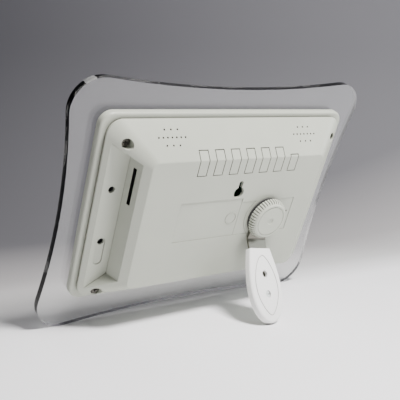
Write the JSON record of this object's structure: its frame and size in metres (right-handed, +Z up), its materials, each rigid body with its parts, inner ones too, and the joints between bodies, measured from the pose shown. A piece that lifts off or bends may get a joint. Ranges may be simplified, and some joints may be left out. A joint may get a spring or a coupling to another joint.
{
  "type": "digital photo frame",
  "caption": "Digital photo frame: a white housing behind a clear panel with hollow sides, keys along its back ridge, on a swivelling leg held by a ribbed knob.",
  "frame": {"origin": "on the surface it stands on, at the middle of its bounding box; the screen faces -Y", "axes": "+X along the width, to the left as seen from behind; +Y out of the back; +Z up. The panel leans back by 21.9 degrees."},
  "size_m": [0.236, 0.0846, 0.1663],
  "materials": {
    "clear_acrylic": "polished clear",
    "foam_tape": "soft foam tape",
    "white_abs": "fine satin",
    "key_abs": "fine satin",
    "knob_abs": "fine satin",
    "leg_abs": "satin",
    "plunger_plastic": "moulded",
    "black_foam": "foam",
    "display_glass": "polished dark",
    "light_guide": "tray",
    "flex_film": "film",
    "zinc_steel": "zinc plated",
    "green_board": "solder mask",
    "chip_black": "moulded",
    "socket_steel": "stamped sheet",
    "socket_black": "moulded",
    "cell_steel": "satin",
    "speaker_black": "moulded",
    "rubber_washer": "plain",
    "brass": "turned",
    "bracket_steel": "polished strip"
  },
  "bodies": {
    "housing": {"acrylic_panel": "clear_acrylic", "adhesive_frame": "foam_tape", "front_bezel": "white_abs", "lcd_gasket": "black_foam", "lcd_glass": "display_glass", "lcd_backlight": "light_guide", "display_flex": "flex_film", "rear_cover": "white_abs", "case_screws": "zinc_steel", "main_board": "green_board", "board_components": "chip_black", "board_screws": "zinc_steel", "card_socket": "socket_steel", "cell_holder": "socket_black", "coin_cell": "cell_steel", "jack_board": "green_board", "phone_jack": "socket_black", "power_jack": "socket_black", "key_board": "green_board", "key_switches": "socket_black", "speaker_left": "speaker_black", "speaker_right": "speaker_black", "stand_bolt": "zinc_steel", "stand_washer": "rubber_washer"},
    "stand": {"stand_bracket": "bracket_steel", "leg_outer": "leg_abs", "leg_inner": "leg_abs", "leg_screw": "zinc_steel"},
    "knob": {"stand_knob": "knob_abs", "knob_insert": "brass"},
    "key_body_1": {"key_1": "key_abs", "plunger_1": "plunger_plastic"},
    "key_body_2": {"key_2": "key_abs", "plunger_2": "plunger_plastic"},
    "key_body_3": {"key_3": "key_abs", "plunger_3": "plunger_plastic"},
    "key_body_4": {"key_4": "key_abs", "plunger_4": "plunger_plastic"},
    "key_body_5": {"key_5": "key_abs", "plunger_5": "plunger_plastic"},
    "key_body_6": {"key_6": "key_abs", "plunger_6": "plunger_plastic"},
    "key_body_7": {"key_7": "key_abs", "plunger_7": "plunger_plastic"}
  },
  "joints": [
    {"name": "leg_swivel", "type": "hinge", "parent": "housing", "child": "stand", "pos_m": [-0.0305, 0.01955, 0.07205], "axis": [0, 0.9276, -0.3736], "range_deg": [-36, 99]},
    {"name": "knob_turn", "type": "hinge", "parent": "housing", "child": "knob", "pos_m": [-0.0305, 0.01955, 0.07205], "axis": [0, 0.9276, -0.3736], "range_deg": [0, 360]},
    {"name": "key_press_1", "type": "slide", "parent": "housing", "child": "key_body_1", "axis": [0, -0.9276, 0.3736], "range_m": [0, 0.0005], "stiffness_N_per_m": 1500},
    {"name": "key_press_2", "type": "slide", "parent": "housing", "child": "key_body_2", "axis": [0, -0.9276, 0.3736], "range_m": [0, 0.0005], "stiffness_N_per_m": 1500},
    {"name": "key_press_3", "type": "slide", "parent": "housing", "child": "key_body_3", "axis": [0, -0.9276, 0.3736], "range_m": [0, 0.0005], "stiffness_N_per_m": 1500},
    {"name": "key_press_4", "type": "slide", "parent": "housing", "child": "key_body_4", "axis": [0, -0.9276, 0.3736], "range_m": [0, 0.0005], "stiffness_N_per_m": 1500},
    {"name": "key_press_5", "type": "slide", "parent": "housing", "child": "key_body_5", "axis": [0, -0.9276, 0.3736], "range_m": [0, 0.0005], "stiffness_N_per_m": 1500},
    {"name": "key_press_6", "type": "slide", "parent": "housing", "child": "key_body_6", "axis": [0, -0.9276, 0.3736], "range_m": [0, 0.0005], "stiffness_N_per_m": 1500},
    {"name": "key_press_7", "type": "slide", "parent": "housing", "child": "key_body_7", "axis": [0, -0.9276, 0.3736], "range_m": [0, 0.0005], "stiffness_N_per_m": 1500}
  ]
}
